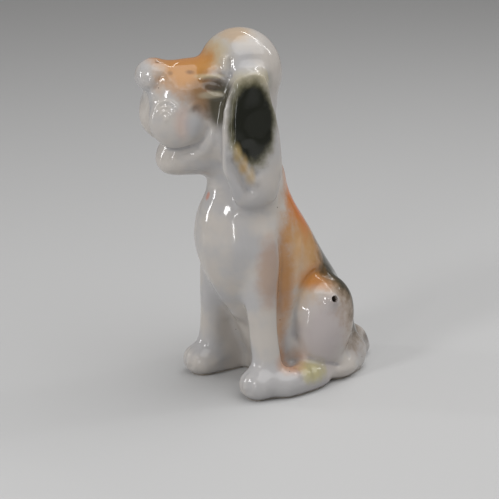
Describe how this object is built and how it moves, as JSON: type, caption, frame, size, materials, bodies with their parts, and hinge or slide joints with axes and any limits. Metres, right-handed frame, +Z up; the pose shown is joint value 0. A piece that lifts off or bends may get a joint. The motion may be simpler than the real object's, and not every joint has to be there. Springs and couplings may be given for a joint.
{
  "type": "dog figurine",
  "caption": "Sitting long-eared dog in glazed ceramic: hollow cast trunk and turned head, luted jaw, ears, limbs and tail, and a flat base that stands on a shelf.",
  "frame": {"origin": "under the middle of the figure's bounding box, on the surface that it stands on", "axes": "+Z up, the dog's trunk faces -Y, the dog's own left side is +X"},
  "size_m": [0.0326, 0.0562, 0.079],
  "materials": {
    "white_glaze": "clear gloss glaze over warm white clay, airbrushed with amber and black",
    "patched_glaze": "clear gloss glaze over a black airbrushed patch with an olive fringe",
    "amber_glaze": "clear gloss glaze over an amber airbrushed ground",
    "bare_clay": "unglazed fired clay"
  },
  "bodies": {
    "root": {"torso_shell": "white_glaze", "head_shell": "white_glaze", "lower_jaw": "white_glaze", "left_ear": "patched_glaze", "right_ear": "patched_glaze", "left_foreleg": "white_glaze", "right_foreleg": "white_glaze", "left_hind_foot": "white_glaze", "right_hind_foot": "white_glaze", "tail": "amber_glaze", "base_plug": "bare_clay"}
  },
  "joints": []
}
